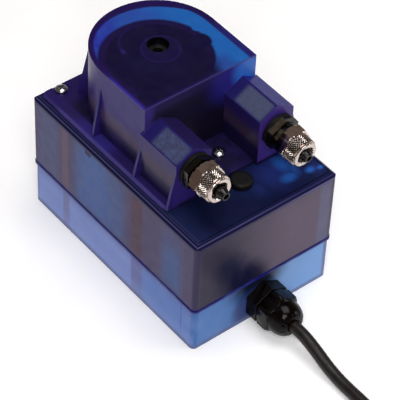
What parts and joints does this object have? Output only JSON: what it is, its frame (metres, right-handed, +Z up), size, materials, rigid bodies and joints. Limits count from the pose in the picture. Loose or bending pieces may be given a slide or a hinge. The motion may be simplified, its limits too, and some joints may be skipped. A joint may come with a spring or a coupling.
{
  "type": "peristaltic pump",
  "caption": "Small peristaltic dosing pump: translucent blue case, D-shaped pump head with two hose ports and knurled nuts, cable gland and coiled lead.",
  "frame": {"origin": "centre of the case's underside, on the surface the pump stands on", "axes": "+X to the right seen from the hose ports, +Y to the back (the hose ports and the cable gland face -Y), +Z up"},
  "size_m": [0.1218, 0.2755, 0.105],
  "materials": {
    "clear_blue_plastic": "translucent light blue moulded plastic, satin",
    "smoky_blue_plastic": "translucent smoky blue moulded plastic, satin",
    "navy_plastic": "translucent navy moulded plastic, glossy",
    "violet_plastic": "translucent violet-blue moulded plastic, satin with glossy roof",
    "zinc_screw": "bright zinc plate",
    "rotor_plastic": "matt black",
    "steel": "ground",
    "brass": "turned",
    "roller_plastic": "off-white nylon",
    "hose_rubber": "matt black elastomer",
    "black_gloss_plastic": "glossy black nylon",
    "seal_rubber": "matt black",
    "nickel": "nickel plate, diamond knurled",
    "gear_plastic": "natural acetal",
    "zinc_casting": "as-cast",
    "plated_steel": "zinc-plated drawn steel",
    "ferrite": "sintered ferrite",
    "black_plastic": "satin",
    "armature_steel": "laminated steel with enamelled wire",
    "copper": "turned copper",
    "board_laminate": "green solder mask",
    "transformer_steel": "varnished laminations",
    "blue_housing_plastic": "satin",
    "capacitor_sleeve": "shrink sleeve",
    "green_plastic": "satin",
    "cord_rubber": "satin brown-black sheath",
    "core_insulation": "satin",
    "ferrule_metal": "tin plate"
  },
  "bodies": {
    "housing": {"base_shell": "clear_blue_plastic", "upper_shell": "smoky_blue_plastic", "lid": "navy_plastic", "pump_head": "violet_plastic", "head_screws": "zinc_screw", "case_screws": "zinc_screw", "hose": "hose_rubber", "hose_fitting_left": "black_gloss_plastic", "hose_fitting_right": "black_gloss_plastic", "seal_ring_left": "seal_rubber", "seal_ring_right": "seal_rubber", "idler_axle": "steel", "gearbox_case": "zinc_casting", "gearbox_cover": "zinc_casting", "gearbox_screws": "zinc_screw", "motor_can": "plated_steel", "motor_magnets": "ferrite", "motor_end_cap": "black_plastic", "circuit_board": "board_laminate", "board_screws": "zinc_screw", "transformer": "transformer_steel", "relay": "blue_housing_plastic", "capacitor": "capacitor_sleeve", "terminal_block": "green_plastic", "trimmer_body": "blue_housing_plastic", "gland_body": "black_gloss_plastic", "gland_seal": "seal_rubber", "inner_lead": "cord_rubber", "cord_lead": "cord_rubber", "cord_coil": "cord_rubber", "cord_cores": "core_insulation", "core_ferrules": "ferrule_metal"},
    "rotor": {"rotor_carrier": "rotor_plastic", "rotor_cap": "rotor_plastic", "roller_pins": "steel", "output_shaft": "brass", "output_gear": "gear_plastic"},
    "roller_a": {"roller_a": "roller_plastic"},
    "roller_b": {"roller_b": "roller_plastic"},
    "roller_c": {"roller_c": "roller_plastic"},
    "idler": {"idler_gear": "gear_plastic"},
    "armature": {"armature": "armature_steel", "motor_shaft": "steel", "commutator": "copper", "motor_pinion": "brass"},
    "nut_left": {"knurled_nut_left": "nickel"},
    "nut_right": {"knurled_nut_right": "nickel"},
    "gland_nut": {"gland_cap_nut": "black_gloss_plastic"},
    "plug": {"blanking_plug": "seal_rubber"},
    "trimmer": {"trimmer_spindle": "gear_plastic"}
  },
  "joints": [
    {"name": "rotor_spin", "type": "hinge", "parent": "housing", "child": "rotor", "pos_m": [0, 0.0197, 0.086], "axis": [0, 0, 1], "continuous": true},
    {"name": "idler_spin", "type": "hinge", "parent": "housing", "child": "idler", "pos_m": [0, 0.0365, 0.053], "axis": [0, 0, 1], "continuous": true},
    {"name": "armature_spin", "type": "hinge", "parent": "housing", "child": "armature", "pos_m": [0, 0.0197, 0.03], "axis": [0, 0, 1], "continuous": true},
    {"name": "roller_a_spin", "type": "hinge", "parent": "rotor", "child": "roller_a", "pos_m": [-0.0073, 0.03778, 0.086], "axis": [0, 0, 1], "continuous": true},
    {"name": "roller_b_spin", "type": "hinge", "parent": "rotor", "child": "roller_b", "pos_m": [-0.01201, 0.00433, 0.086], "axis": [0, 0, 1], "continuous": true},
    {"name": "roller_c_spin", "type": "hinge", "parent": "rotor", "child": "roller_c", "pos_m": [0.01931, 0.01699, 0.086], "axis": [0, 0, 1], "continuous": true},
    {"name": "nut_left_turn", "type": "hinge", "parent": "housing", "child": "nut_left", "pos_m": [-0.0231, -0.048, 0.086], "axis": [0, -1, 0], "range_deg": [0, 720]},
    {"name": "nut_right_turn", "type": "hinge", "parent": "housing", "child": "nut_right", "pos_m": [0.0231, -0.05078, 0.08315], "axis": [0, -0.9972, -0.075], "range_deg": [0, 720]},
    {"name": "gland_nut_turn", "type": "hinge", "parent": "housing", "child": "gland_nut", "pos_m": [0, -0.075, 0.0106], "axis": [0, -1, 0], "range_deg": [0, 720]},
    {"name": "plug_pull", "type": "slide", "parent": "housing", "child": "plug", "axis": [0, 0, 1], "range_m": [0, 0.012]},
    {"name": "trimmer_turn", "type": "hinge", "parent": "housing", "child": "trimmer", "pos_m": [0.001, -0.0405, 0.045], "axis": [0, 0, 1], "range_deg": [-135, 135]}
  ],
  "couplings": [
    {"joint": "idler_spin", "follows": "rotor_spin", "ratio": -3},
    {"joint": "armature_spin", "follows": "rotor_spin", "ratio": 9},
    {"joint": "roller_a_spin", "follows": "rotor_spin", "ratio": -4.6239},
    {"joint": "roller_b_spin", "follows": "rotor_spin", "ratio": -4.6239},
    {"joint": "roller_c_spin", "follows": "rotor_spin", "ratio": -4.6239}
  ]
}
